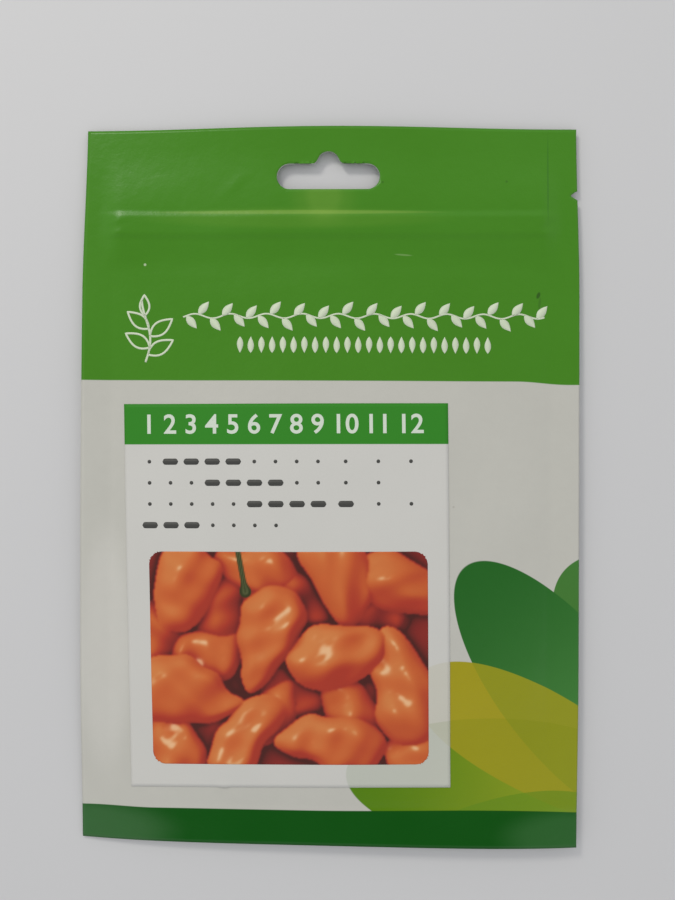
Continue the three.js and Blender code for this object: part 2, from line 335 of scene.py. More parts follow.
def film_grid():
    """The films' grid, its points at the cut-outs moved onto their edges, and which cells are kept."""
    x, y = np.meshgrid(stepped(FILM_XS), stepped(FILM_YS))
    x, y = snapped(x, y, cut_out, FILM_SNAP)
    x[:, -1] = HALF_W
    middle_x = (x[1:, 1:] + x[:-1, :-1] + x[1:, :-1] + x[:-1, 1:]) / 4
    middle_y = (y[1:, 1:] + y[:-1, :-1] + y[1:, :-1] + y[:-1, 1:]) / 4
    return x, y, cut_out(middle_x, middle_y) > 0


def label_grid():
    """An even grid over the label, turned and shifted with it."""
    across = np.linspace(-LABEL_W / 2, LABEL_W / 2, round(LABEL_W / LABEL_STEP) + 1)
    up = np.linspace(-LABEL_H / 2, LABEL_H / 2, round(LABEL_H / LABEL_STEP) + 1)
    return on_label(*np.meshgrid(across, up))


# The peppers' picture, worked out from shapes.

# Middle across and up, turn in degrees, half length, half width, taper, bend, level and warmth.
PEPPERS = [
    (20.0, 9.0, 40, 13.0, 8.5, 0.2, -0.1, -6.0, -1.2),
    (1.0, 13.0, -20, 13.0, 8.5, 0.2, -0.1, -6.0, -1.0),
    (-17.0, 11.0, 110, 13.0, 9.0, 0.2, -0.1, -6.5, -1.3),
    (-31.0, 4.0, 80, 12.0, 8.0, 0.2, -0.1, -6.0, -1.0),
    (19.0, -14.0, 80, 12.0, 8.5, 0.2, -0.1, -6.5, -1.2),
    (-1.0, -8.0, 150, 12.0, 8.0, 0.2, -0.1, -6.5, -1.3),
    (-18.0, -20.0, 120, 12.0, 8.0, 0.2, -0.1, -6.5, -1.2),
    (27.5, 17.5, -25, 11.5, 7.6, 0.30, -0.10, 0.0, 0.10),
    (12.5, 19.5, -70, 12.5, 8.0, 0.25, 0.15, 1.5, 0.55),
    (-7.5, 21.5, 160, 11.0, 6.5, 0.30, -0.1, -3.0, 0.15),
    (-25.0, 17.0, -105, 11.5, 8.2, 0.35, -0.12, 1.0, 0.45),
    (-5.0, 4.5, -112, 13.5, 8.3, 0.55, -0.10, 0.5, 0.30),
    (27.0, -7.0, 102, 15.0, 7.6, 0.25, -0.22, 1.5, 0.50),
    (11.5, 1.0, 8, 11.8, 7.9, 0.12, -0.05, 3.0, 0.60),
    (-19.0, 0.5, 20, 10.5, 6.6, 0.40, -0.1, -2.5, 0.10),
    (14.0, -12.0, 120, 9.5, 6.8, 0.30, -0.1, -2.0, 0.25),
    (-24.0, -8.5, -10, 13.8, 8.6, 0.50, 0.1, 2.5, 0.50),
    (-4.5, -13.0, 52, 9.5, 6.0, 0.30, -0.1, -2.5, 0.15),
    (9.5, -20.0, 172, 13.0, 7.6, 0.22, -0.05, 1.8, 0.40),
    (-10.5, -19.5, -125, 13.0, 6.4, -0.20, -0.25, 2.2, 0.45),
    (-28.0, -22.0, 100, 9.5, 7.2, 0.25, -0.1, -0.5, 0.20),
    (30.0, -24.0, 150, 8.5, 6.0, 0.25, -0.1, -1.5, 0.35),
]
STALK = ((-10.2, 16.2), (-12.4, 28.5))
STALK_THIN, STALK_FOOT, STALK_SOFT = 0.75, 0.8, 0.25
# The light on the heap, its colours from shadow to light with the value of each, and two heights:
# where no pepper is, and the deepest that shows.
LIGHT = np.array([-0.42, 0.5, 0.76]) / np.linalg.norm([-0.42, 0.5, 0.76])
VALUES = [0.0, 0.16, 0.38, 0.62, 0.78, 0.92]
TONES = np.array([
    (70, 26, 26),
    (120, 34, 34),
    (160, 52, 38),
    (181, 87, 46),
    (190, 104, 58),
    (196, 126, 78),
])
GLINT_TONE, STALK_TONE = np.array([222, 196, 176]), np.array([44, 56, 28])
NOWHERE, DEEPEST = -9, -6
# How far the peppers' outlines stray, how high their lobes and dents stand, and how full they are.
# Then their shadows: the reach of each blur, and how much of the light it takes.
STRAY, LOBES, DENTS, FULLNESS = 0.5, 0.4, 0.55, 0.9
SHADOWS = [(1.0, 0.10), (3.2, 0.085)]


def soften(field, reach, step):
    """The field blurred by a bell curve of that reach, as a product of spectra."""
    rows = np.fft.fftfreq(field.shape[0])[:, None]
    cols = np.fft.rfftfreq(field.shape[1])[None, :]
    bell = np.exp(-2 * (np.pi * reach / step) ** 2 * (rows ** 2 + cols ** 2))
    return np.fft.irfft2(np.fft.rfft2(field) * bell, s=field.shape)


def waves(x, y, draw, count, longest, shortest):
    """Sum of sine waves with drawn directions and phases, lengths between two limits."""
    turn = draw.uniform(0, 2 * np.pi, count)[:, None, None]
    length = np.geomspace(longest, shortest, count)[:, None, None]
    phase = draw.uniform(0, 2 * np.pi, count)[:, None, None]
    along = (x[None] * np.cos(turn) + y[None] * np.sin(turn)) / length
    return (np.sin(2 * np.pi * along + phase) * (length / longest) ** 0.7).sum(0)


def one_pepper(x, y, step, draw, pepper):
    """Height of one pepper over the grid, how much its slope faces the light, and how much it glints.

    The height is the half width times a blunt profile along it times a half circle across it, with
    lobes and dents.
    """
    half = (LIGHT + [0, 0, 1]) / np.linalg.norm(LIGHT + [0, 0, 1])
    cx, cy, turn, length, width, taper, bend, level, _ = pepper
    bent_x = x + STRAY * waves(x, y, draw, 4, 20, 8) - cx
    bent_y = y + STRAY * waves(x, y, draw, 4, 20, 8) - cy
    c, s = math.cos(math.radians(turn)), math.sin(math.radians(turn))
    u = (bent_x * c + bent_y * s) / length
    v = (-bent_x * s + bent_y * c) / width + bend * (u ** 2 - 0.4)
    blunt = np.clip(1 - np.abs(u) ** 2.4, 0, None) ** 0.5
    profile = blunt * (1 - taper * u) / (1 + 0.3 * abs(taper))
    across = v / np.maximum(profile, 1e-6)
    inside = (np.abs(u) < 1) & (np.abs(across) < 1)
    dome = np.sqrt(np.clip(1 - across ** 2, 0, None))
    around = np.arcsin(np.clip(across, -1, 1))
    lobes = LOBES * np.cos(4 * around + draw.uniform(0, 6)) * (1 - u ** 2)
    dents = DENTS * waves(x, y, draw, 4, 15, 6.5)
    height = width * profile * dome * FULLNESS + (lobes + dents) * dome ** 0.5
    slope_y, slope_x = np.gradient(soften(np.where(inside, height, 0), 0.6, step), step)
    size = np.sqrt(slope_x ** 2 + slope_y ** 2 + 1)
    lit = (LIGHT[2] - slope_x * LIGHT[0] - slope_y * LIGHT[1]) / size
    shine = np.clip((half[2] - slope_x * half[0] - slope_y * half[1]) / size, 0, 1)
    return np.where(inside, height + level, NOWHERE), lit, shine


def with_stalk(x, y, colour):
    """The colours with a green stalk over them, thicker at its foot and lighter along one side."""
    (ax, ay), (bx, by) = STALK
    along = ((x - ax) * (bx - ax) + (y - ay) * (by - ay)) / ((bx - ax) ** 2 + (by - ay) ** 2)
    along = np.clip(along, 0, 1)
    off = np.hypot(x - ax - along * (bx - ax), y - ay - along * (by - ay))
    thick = STALK_THIN + STALK_FOOT * bump(along, 0.12)
    share = np.clip((thick - off) / STALK_SOFT, 0, 1)[..., None]
    green = STALK_TONE + 34 * np.clip(1 - 3 * np.abs(off / thick - 0.3), 0, 1)[..., None]
    return colour * (1 - share) + green * share


def pepper_colours(x, y, step):
    """Colours of a heap of lantern-shaped peppers, as display values on the grid x, y.

    The highest pepper at a place shows. Its slope gives the light, and how far it lies under its
    blurred surroundings gives the shadow.
    """
    draw = np.random.default_rng(11)
    top = np.full(x.shape, float(NOWHERE))
    shade, gloss, warmth = np.zeros(x.shape), np.zeros(x.shape), np.zeros(x.shape)
    for pepper in PEPPERS:
        height, lit, shine = one_pepper(x, y, step, draw, pepper)
        front = height > top
        top = np.where(front, height, top)
        shade = np.where(front, lit, shade)
        gloss = np.where(front, shine, gloss)
        warmth = np.where(front, pepper[-1], warmth)
    top = np.maximum(top, DEEPEST)
    shadow = sum(taken * np.clip(soften(top, reach, step) - top, 0, None) for reach, taken in SHADOWS)
    open_sky = np.clip(1 - shadow, 0, 1)
    value = (0.34 + 0.56 * np.clip(shade, 0, 1)) * open_sky ** 1.5
    value = soften(value + 0.13 * (warmth - 0.35), 0.22, step)
    colour = np.stack([np.interp(value, VALUES, TONES[:, i]) for i in range(3)], -1)
    broken = 0.35 + 0.7 * waves(x, y, draw, 6, 7, 1.5)
    glint = np.clip(gloss ** 90 * 1.5 * broken * (warmth > 0), 0, 1)
    glint = 0.8 * soften(glint, 0.2, step)[..., None]
    return with_stalk(x, y, colour * (1 - glint) + GLINT_TONE * glint)


def picture():
    """The picture on the label: a thin sheet with round corners, coloured at every point."""
    step, margin = PICTURE_STEP, 8
    across = np.arange(-round(PICTURE_W / 2 / step), round(PICTURE_W / 2 / step) + 1) * step
    up = np.arange(-round(PICTURE_H / 2 / step), round(PICTURE_H / 2 / step) + 1) * step
    grid_x, grid_y = np.meshgrid(across, up)
    padded_x = np.arange(across[0] - margin * step, across[-1] + (margin + 0.5) * step, step)
    padded_y = np.arange(up[0] - margin * step, up[-1] + (margin + 0.5) * step, step)
    colours = pepper_colours(*np.meshgrid(padded_x, padded_y), step)[margin:-margin, margin:-margin]

    def outline(x, y):
        """Distance to a rectangle with round corners."""
        out_x = np.abs(x) - across[-1] + PICTURE_R
        out_y = np.abs(y) - up[-1] + PICTURE_R
        outside = np.hypot(np.maximum(out_x, 0), np.maximum(out_y, 0))
        return outside + np.minimum(np.maximum(out_x, out_y), 0) - PICTURE_R

    snap_x, snap_y = snapped(grid_x, grid_y, outline, PICTURE_SNAP)
    middle_x = (snap_x[1:, 1:] + snap_x[:-1, :-1]) / 2
    middle_y = (snap_y[1:, 1:] + snap_y[:-1, :-1]) / 2
    keep = outline(middle_x, middle_y) < 0
    x, y = on_label(snap_x + PICTURE_X, snap_y + PICTURE_Y)
    base = label_upper(x, y)
    points, faces, kinds, used = closed_sheet(x, y, base + INK, base + PICTURE_GAP, keep)
    ob = piece("label_picture", points, faces, [finish["picture"]], flat=kinds == 2)
    linear = linear_light(colours.reshape(-1, 3)) * PICTURE_GAIN
    linear = np.concatenate([linear, np.ones((len(linear), 1))], 1)
    shown = linear[used % len(linear)]
    layer = ob.data.color_attributes.new("printed_colour", "FLOAT_COLOR", "POINT")
    layer.data.foreach_set("color", shown.ravel())
    return ob


# Shader nodes and node groups.


def add(tree, kind, inputs=None, **settings):
    """A node of that kind, with settings, and inputs given as values or as other nodes' sockets."""
    node = tree.nodes.new(kind)
    for key, value in settings.items():
        setattr(node, key, value)
    for key, value in (inputs or {}).items():
        if isinstance(value, bpy.types.NodeSocket):
            tree.links.new(value, node.inputs[key])
        else:
            node.inputs[key].default_value = value
    return node


def sums(tree, operation, *values):
    """The output of a Math node on values or sockets."""
    return add(tree, "ShaderNodeMath", dict(enumerate(values)), operation=operation).outputs[0]


def blended(tree, share, first, second):
    """A colour mixed from two, by a share that may vary over the surface."""
    node = add(tree, "ShaderNodeMix", {0: share, 6: first, 7: second}, data_type="RGBA", blend_type="MIX")
    return node.outputs[2]


def stepwise(tree, value, low, high):
    """0 below low and 1 above high, smooth between them."""
    node = add(tree, "ShaderNodeMapRange", {0: value, 1: low, 2: high, 3: 0.0, 4: 1.0},
               interpolation_type="SMOOTHSTEP")
    return node.outputs[0]


def node_group(name, inputs, outputs):
    """An empty node group with named inputs and outputs, its input node and its output node."""
    tree = bpy.data.node_groups.new(name, "ShaderNodeTree")
    for label, kind in inputs:
        tree.interface.new_socket(label, in_out="INPUT", socket_type=kind)
    for label, kind in outputs:
        tree.interface.new_socket(label, in_out="OUTPUT", socket_type=kind)
    return tree, add(tree, "NodeGroupInput"), add(tree, "NodeGroupOutput")


FLOAT, VECTOR, COLOUR = "NodeSocketFloat", "NodeSocketVector", "NodeSocketColor"


def band_group():
    """A printed band: the ink covers the ground where Height is past Edge."""
    tree, given, made = node_group(
        "printed band",
        [("Ground", COLOUR), ("Ink", COLOUR), ("Height", FLOAT), ("Edge", FLOAT), ("Softness", FLOAT)],
        [("Colour", COLOUR)],
    )
    past = sums(tree, "SUBTRACT", given.outputs["Height"], given.outputs["Edge"])
    share = sums(tree, "DIVIDE", past, given.outputs["Softness"])
    inside = stepwise(tree, share, -1.0, 1.0)
    colour = blended(tree, inside, given.outputs["Ground"], given.outputs["Ink"])
    tree.links.new(colour, made.inputs["Colour"])
    return tree


def leaf_group():
    """A plain printed leaf: an egg-shaped patch of ink around the middle of Place, lighter to one end."""
    tree, given, made = node_group(
        "printed leaf",
        [("Ground", COLOUR), ("Ink", COLOUR), ("Tip", COLOUR), ("Place", VECTOR), ("Egg", FLOAT),
         ("Cover", FLOAT)],
        [("Colour", COLOUR)],
    )
    parts = add(tree, "ShaderNodeSeparateXYZ", {0: given.outputs["Place"]})
    along, across = parts.outputs[0], parts.outputs[1]
    swell = sums(tree, "MULTIPLY_ADD", along, given.outputs["Egg"], 1.0)
    narrowed = sums(tree, "DIVIDE", across, sums(tree, "MAXIMUM", swell, 0.2))
    squares = [sums(tree, "MULTIPLY", value, value) for value in (along, narrowed)]
    inside = stepwise(tree, sums(tree, "SQRT", sums(tree, "ADD", *squares)), 1.006, 0.996)
    ink = blended(tree, stepwise(tree, along, -1.0, 1.0), given.outputs["Ink"], given.outputs["Tip"])
    share = sums(tree, "MULTIPLY", inside, given.outputs["Cover"])
    tree.links.new(blended(tree, share, given.outputs["Ground"], ink), made.inputs["Colour"])
    return tree


def mottle_group():
    """Uneven ink and dull patches: slow and fine noise, as a colour factor, a gloss change and a height."""
    tree, given, made = node_group(
        "mottled surface",
        [("Place", VECTOR), ("Coarse", FLOAT), ("Fine", FLOAT), ("Depth", FLOAT)],
        [("Shade", FLOAT), ("Dull", FLOAT), ("Height", FLOAT)],
    )
    off, fine_off = (
        sums(tree, "SUBTRACT", add(tree, "ShaderNodeTexNoise", {
            "Vector": given.outputs["Place"],
            "Scale": given.outputs[scale],
            "Detail": detail,
            "Roughness": roughness,
        }).outputs["Fac"], 0.5)
        for scale, detail, roughness in [("Coarse", 3.0, 0.55), ("Fine", 4.0, 0.6)]
    )
    mixed = sums(tree, "MULTIPLY_ADD", fine_off, 0.4, off)
    shade = sums(tree, "MULTIPLY_ADD", mixed, given.outputs["Depth"], 1.0)
    tree.links.new(shade, made.inputs["Shade"])
    tree.links.new(off, made.inputs["Dull"])
    tree.links.new(sums(tree, "MULTIPLY_ADD", fine_off, 0.35, off), made.inputs["Height"])
    return tree


def mark_or_sheen_group():
    """A small mark or a painted sheen: ink over the ground near the middle of Place, fading out round its
    half sizes.
    """
    tree, given, made = node_group(
        "mark_or_painted_sheen",
        [("Ground", COLOUR), ("Ink", COLOUR), ("Place", VECTOR), ("Cover", FLOAT)],
        [("Colour", COLOUR)],
    )
    reach = add(tree, "ShaderNodeVectorMath", {0: given.outputs["Place"]}, operation="LENGTH")
    inside = stepwise(tree, reach.outputs["Value"], 1.2, 0.6)
    share = sums(tree, "MULTIPLY", inside, given.outputs["Cover"])
    tree.links.new(blended(tree, share, given.outputs["Ground"], given.outputs["Ink"]), made.inputs["Colour"])
    return tree


BAND, LEAF, MOTTLE, MARK_OR_SHEEN = band_group(), leaf_group(), mottle_group(), mark_or_sheen_group()


def grouped(tree, group, inputs):
    """A group of nodes placed in a material's tree."""
    return add(tree, "ShaderNodeGroup", inputs, node_tree=group)


def new_finish(name, roughness, **fixed):
    """A material with its Principled shader, its tree and its Object coordinates."""
    material = bpy.data.materials.new(name)
    material.use_nodes = True
    tree = material.node_tree
    shader = tree.nodes["Principled BSDF"]
    shader.inputs["Roughness"].default_value = roughness
    for key, value in fixed.items():
        shader.inputs[key.replace("_", " ")].default_value = value
    place = add(tree, "ShaderNodeTexCoord").outputs["Object"]
    return material, tree, shader, place


def placed(tree, place, x, y, turn=0.0, half_x=1.0, half_y=1.0):
    """Object coordinates measured from (x, y) millimetres, turned, in units of two half sizes."""
    return add(tree, "ShaderNodeMapping", {
        "Vector": place,
        "Location": (x * MM, y * MM, 0),
        "Rotation": (0, 0, math.radians(turn)),
        "Scale": (half_x * MM, half_y * MM, 1),
    }, vector_type="TEXTURE").outputs[0]


def worn(tree, shader, place, colour, roughness, coarse, fine, depth, bump_depth, spread=0.15):
    """The shader's colour, gloss and normal: the given ones, made uneven by two noises."""
    mottle = grouped(tree, MOTTLE, {"Place": place, "Coarse": coarse, "Fine": fine, "Depth": depth})
    shaded = add(tree, "ShaderNodeVectorMath", {0: colour, 1: mottle.outputs["Shade"]}, operation="MULTIPLY")
    tree.links.new(shaded.outputs[0], shader.inputs["Base Color"])
    gloss = sums(tree, "MULTIPLY_ADD", mottle.outputs["Dull"], spread, roughness)
    tree.links.new(gloss, shader.inputs["Roughness"])
    height = mottle.outputs["Height"]
    bumps = add(tree, "ShaderNodeBump", {"Height": height, "Distance": bump_depth, "Strength": 1.0})
    tree.links.new(bumps.outputs[0], shader.inputs["Normal"])


def plain_colour(tree, display):
    """A colour node's output, from display values."""
    colour = add(tree, "ShaderNodeRGB")
    colour.outputs[0].default_value = tone(*display)
    return colour.outputs[0]


# Middle x, y, turn, half length, half width, egg, cover, ink and tip, from the lowest leaf up.
LEAVES = [
    (70.5, -32.0, 66.1, 15.25, 17.7, 0.16, 1.0, (70, 122, 50), (66, 122, 52)),
    (56.9, -49.0, 129.0, 38.2, 15.3, -0.03, 1.0, (80, 141, 76), (7, 88, 35)),
    (45.2, -72.6, 174.9, 40.7, 16.7, -0.06, 1.0, (172, 178, 47), (54, 125, 0)),
    (58.8, -65.4, 152.9, 42.0, 11.9, 0.32, 1.0, (160, 155, 42), (162, 152, 24)),
    (56.9, -49.0, 129.0, 38.2, 15.3, -0.03, 0.25, (70, 131, 23), (70, 131, 23)),
    (45.2, -72.6, 174.9, 40.7, 16.7, -0.06, 0.3, (126, 138, 0), (126, 138, 0)),
    (45.9, -92.7, 180.5, 34.5, 19.0, -0.33, 0.7, (100, 139, 22), (100, 139, 22)),
]
FILM_WHITE = (191, 190, 181)
TOP_GREEN = (69, 132, 29)
BOTTOM_GREEN = (7, 82, 9)
LABEL_GREEN = (46, 131, 28)
LABEL_PAPER = (202, 201, 195)
LABEL_HEADER, SHOWING_THROUGH = 9.8, 0.14
# The bands' edges above and below the packet's middle, and where each strays from straight: from one
# place across the packet to another, it moves by so much.
TOP_EDGE, BOTTOM_EDGE, BAND_SOFT = 25.2, 78.6, 0.12
TOP_STRAYS = [(45, 58, 0.8)]
BOTTOM_STRAYS = [(-5, 55, 0.95), (-42, -58, 0.6)]


def leafy(tree, place, ground, cover=1.0):
    """The overlapping printed leaves over a ground colour."""
    for x, y, turn, half_l, half_w, egg, share, ink, tip in LEAVES:
        ground = grouped(tree, LEAF, {
            "Ground": ground, "Ink": tone(*ink), "Tip": tone(*tip), "Egg": egg, "Cover": share * cover,
            "Place": placed(tree, place, x, y, turn, half_l, half_w),
        }).outputs["Colour"]
    return ground


def banded(tree, place, ground):
    """The green bands at the packet's top and bottom."""
    split = add(tree, "ShaderNodeSeparateXYZ", {0: place})
    x, up = split.outputs[0], split.outputs[1]
    down = sums(tree, "MULTIPLY", up, -1.0)
    bands = [(TOP_GREEN, up, TOP_EDGE, TOP_STRAYS), (BOTTOM_GREEN, down, BOTTOM_EDGE, BOTTOM_STRAYS)]
    for ink, height, edge, strays in bands:
        for start, end, by in strays:
            height = sums(tree, "MULTIPLY_ADD", stepwise(tree, x, start * MM, end * MM), by * MM, height)
        ground = grouped(tree, BAND, {
            "Ground": ground, "Ink": tone(*ink), "Height": height,
            "Edge": edge * MM, "Softness": BAND_SOFT * MM,
        }).outputs["Colour"]
    return ground


# Small marks on the printed front, then painted sheens, that is reflected light painted into the print,
# and the line of the right weld: x, y, turn, half sizes, cover and ink.
MARKS_AND_SHEENS = [
    (-45, 53.4, 0, 0.35, 0.35, 0.8, (190, 205, 170)),
    (17.8, 55.8, -4, 2.2, 0.22, 0.35, (150, 180, 120)),
    (50.3, 46.0, 70, 0.9, 0.45, 0.7, (40, 70, 26)),
    (50.6, 44.0, 85, 1.6, 0.35, 0.35, (50, 90, 30)),
    (12.7, 73.2, 0, 0.3, 0.3, 0.5, (50, 90, 30)),
    (42.5, 73.4, 0, 0.3, 0.3, 0.5, (50, 90, 30)),
    (30.0, -5.0, 10, 0.3, 0.25, 0.4, (150, 146, 134)),
    # Painted sheen: reflected light painted on the dark band at the bottom corners.
    (-60, -84, 0, 23, 7, 0.09, (160, 200, 155)),
    (60, -84, 0, 18, 7, 0.06, (160, 220, 155)),
    # Painted sheen: a soft glow of reflected light painted below the slot.
    (-1.5, 69.4, 0, 8, 7, 0.03, (220, 240, 120)),
    (-1.5, 69.8, 0, 4.6, 5.2, 0.04, (220, 240, 120)),
    # Painted highlights: bright lines of reflected light painted along the zip.
    (-8, 66.0, 0, 34, 0.55, 0.11, (225, 240, 125)),
    (-8, 64.6, 0, 36, 2.6, 0.03, (215, 250, 110)),
    # Painted sheen: reflected light painted on the white film at the left.
    (-54, -40, 0, 7, 30, 0.15, (240, 236, 232)),
    (52.4, 74, 0, 0.22, 11, 0.35, (42, 96, 36)),
]


def printed_film(name, leaves):
    """Satin printed film: a light ground, green bands and leaves, small marks, painted sheens and faint
    dents.
    """
    roughness = 0.30
    material, tree, shader, place = new_finish(name, roughness, Specular_IOR_Level=0.22)
    ground = plain_colour(tree, FILM_WHITE)
    if leaves:
        ground = leafy(tree, place, ground)
    ground = banded(tree, place, ground)
    if leaves:
        # Marks and painted sheens. For a sheen, ink is the colour of painted reflected light.
        for x, y, turn, half_l, half_w, cover, ink in MARKS_AND_SHEENS:
            ground = grouped(tree, MARK_OR_SHEEN, {
                "Ground": ground, "Ink": tone(*ink), "Cover": cover,
                "Place": placed(tree, place, x, y, turn, half_l, half_w),
            }).outputs["Colour"]
    worn(tree, shader, place, ground, roughness, 38.0, 420.0, 0.10, 0.00022)
    return material


def plain_finish(name, colour, roughness, coarse, fine, depth, bump_depth, **fixed):
    """A one-colour surface with uneven tone, gloss and a fine relief."""
    material, tree, shader, place = new_finish(name, roughness, **fixed)
    worn(tree, shader, place, plain_colour(tree, colour), roughness, coarse, fine, depth, bump_depth)
    return material


def label_paper():
    """Label paper: pale, with a printed green header, a faint leaf showing through and fine fibres."""
    roughness = 0.62
    material, tree, shader, place = new_finish("label_paper", roughness, Specular_IOR_Level=0.25)
    ground = leafy(tree, place, plain_colour(tree, LABEL_PAPER), SHOWING_THROUGH)
    high_left, high_right = LABEL_CORNERS[1].tolist()
    slant = math.degrees(math.atan2(high_right[1] - high_left[1], high_right[0] - high_left[0]))
    from_corner = placed(tree, place, high_left[0], high_left[1], slant)
    up = add(tree, "ShaderNodeSeparateXYZ", {0: from_corner}).outputs[1]
    ground = grouped(tree, BAND, {
        "Ground": ground, "Ink": tone(*LABEL_GREEN), "Height": up, "Edge": -LABEL_HEADER, "Softness": 0.08,
    }).outputs["Colour"]
    worn(tree, shader, place, ground, roughness, 60.0, 2600.0, 0.05, 0.00006)
    return material


def picture_print():
    """The printed picture: its colours are on its points, with a fine printing grain."""
    roughness = 0.5
    material, tree, shader, place = new_finish("picture_print", roughness, Specular_IOR_Level=0.3)
    colour = add(tree, "ShaderNodeAttribute", attribute_name="printed_colour").outputs["Color"]
    worn(tree, shader, place, colour, roughness, 300.0, 3000.0, 0.08, 0.00004, spread=0.12)
    return material


# Every finish. A plain one takes a name, colour, roughness, the noises' scales, and their depth in
# tone and in relief.
finish = {
    "front": printed_film("printed_front_film", True),
    "back": printed_film("printed_back_film", False),
    "foil": plain_finish("silver_inner_film", (186, 187, 184), 0.34, 60.0, 500.0, 0.08, 0.0001,
                         Metallic=0.85),
    "edge": plain_finish("cut_film_edge", (150, 158, 140), 0.5, 200.0, 900.0, 0.1, 0.00002),
    "label": label_paper(),
    "label_edge": plain_finish("label_paper_edge", (206, 205, 200), 0.75, 300.0, 1500.0, 0.08, 0.00003),
    "picture": picture_print(),
    "white_ink": plain_finish("white_ink", (203, 214, 186), 0.5, 90.0, 1800.0, 0.12, 0.00003),
    "number_ink": plain_finish("white_number_ink", (206, 216, 200), 0.55, 90.0, 1800.0, 0.08, 0.00003),
    "dark_ink": plain_finish("dark_ink", (62, 62, 58), 0.55, 90.0, 1800.0, 0.25, 0.00003),
    "zip": plain_finish("milky_zip_strip", (226, 229, 222), 0.45, 80.0, 700.0, 0.05, 0.00004,
                        Subsurface_Weight=0.3),
    "seed": plain_finish("dry_seed", (214, 184, 120), 0.7, 350.0, 2200.0, 0.35, 0.00012),
    "floor": plain_finish("pale_floor", (203, 203, 203), 0.75, 6.0, 220.0, 0.012, 0.00003),
}


# The packet's pieces.


def films():
    """The two films, each one closed sheet on the same grid with the slot and notch cut out."""
    x, y, keep = film_grid()
    sheets = [
        ("printed_front", front_outside(x, y), front_inside(x, y), "front_film", ["front", "foil", "edge"]),
        ("printed_back", back_inside(x, y), under(x, y), "back_film", ["foil", "back", "edge"]),
    ]
    for name, top, bottom, node, looks in sheets:
        points, faces, kinds, _ = closed_sheet(drawn_in(x, y), bowed_out(x, y), top, bottom, keep)
        ob = piece(name, points, faces, [finish[n] for n in looks], kinds, kinds == 2)
        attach(ob, "root")
        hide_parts(node)


def label():
    """The paper label: one closed thin sheet that follows the film's bulge."""
    x, y = label_grid()
    points, faces, kinds, _ = closed_sheet(x, y, label_upper(x, y), label_lower(x, y))
    looks = [finish["label"], finish["label_edge"]]
    ob = piece("paper_label", points, faces, looks, np.minimum(kinds, 1), kinds == 2)
    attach(ob, "root")
    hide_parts("label")
    shown = picture()
    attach(shown, "root")


def ribbon(x, y, half_width):
    """A band along the line x, y: its grid is the line moved half a width to each side of it."""
    slope_x, slope_y = np.gradient(x), np.gradient(y)
    size = np.hypot(slope_x, slope_y)
    across = np.array([[-1.0], [0.0], [1.0]]) * half_width
    return x + across * slope_y / size, y - across * slope_x / size


def leaf_half(share, width):
    """Half the width of a pointed leaf at a share of its length: a sine, a little skewed."""
    return 0.5 * width * np.sin(np.pi * share ** 0.85)


def turned(x, y, turn, along, across):
    """Places along and across a direction that starts from x, y."""
    c, s = math.cos(turn), math.sin(turn)
    return x + along * c - across * s, y + along * s + across * c


def leaf_blade(x, y, turn, length, width):
    """A filled pointed leaf, a hair wide at its ends."""
    share = np.linspace(0, 1, 13)
    across = np.array([[1.0], [0.0], [-1.0]]) * (leaf_half(share, width) + 0.02)
    along = np.broadcast_to(share * length, across.shape)
    return turned(x, y, turn, along, across)


def leaf_line(x, y, turn, length, width, pen):
    """A leaf drawn as an outline: a ribbon round the same shape."""
    share = np.linspace(0, 1, 21)
    half = leaf_half(share, width)
    along = np.concatenate([share, share[-2::-1]]) * length
    across = np.concatenate([half, -half[-2::-1]])
    return ribbon(*turned(x, y, turn, along, across), pen / 2)


def inked(name, grids, surface, material):
    """Thin patches of ink, one closed sheet for each grid, laid on a surface of the packet."""
    sheets = [closed_sheet(x, y, surface(x, y) + INK, surface(x, y) - ROOT) for x, y in grids]
    points, faces, kinds = joined(sheets)
    ob = piece(name, points, faces, [material], flat=kinds == 2)
    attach(ob, "root")


# The sprig in the header: its stem's place, foot, top, sway and pitch, and the leaves on it with
# their heights, turns in degrees and lengths.
STEM_X, STEM_LOW, STEM_HIGH, STEM_SWAY, STEM_PITCH = -44.6, 29.6, 44.6, 1.1, 0.30
STEM_PEN, LEAF_PEN, LEAF_SHARE = 0.26, 0.5, 0.46
SPRIG_LEAVES = [(31.5, 30, 7.0), (33.2, 150, 6.8), (36.0, 38, 6.8), (37.8, 142, 6.6), (41.0, 92, 5.0)]
# The vine: its ends, height, sway and pitch, and its leaves' first place, spacing and slant.
VINE_ENDS, VINE_UP, VINE_SWAY, VINE_PITCH = (-35.6, 51.8), 40.9, 0.55, 0.72
VINE_LEAVES, VINE_FIRST, VINE_STEP, VINE_SLANT = 30, -34.8, 2.92, 50
VINE_PEN, VINE_LEAF = 0.2, (4.0, 1.9)
# The row of printed seeds: how many, first place, spacing and height.
ROW_SEEDS, ROW_FIRST, ROW_STEP, ROW_UP, ROW_SEED = 24, -21.6, 2.6, 33.9, (4.0, 1.5)


def stem_x(y):
    """Where the sprig's stem is at a height: a sine about its middle line."""
    return STEM_X + STEM_SWAY * np.sin((y - STEM_LOW) * STEM_PITCH)


def vine_y(x):
    """How high the vine is at a place across: a sine about its middle height."""
    return VINE_UP + VINE_SWAY * np.sin(x * VINE_PITCH)


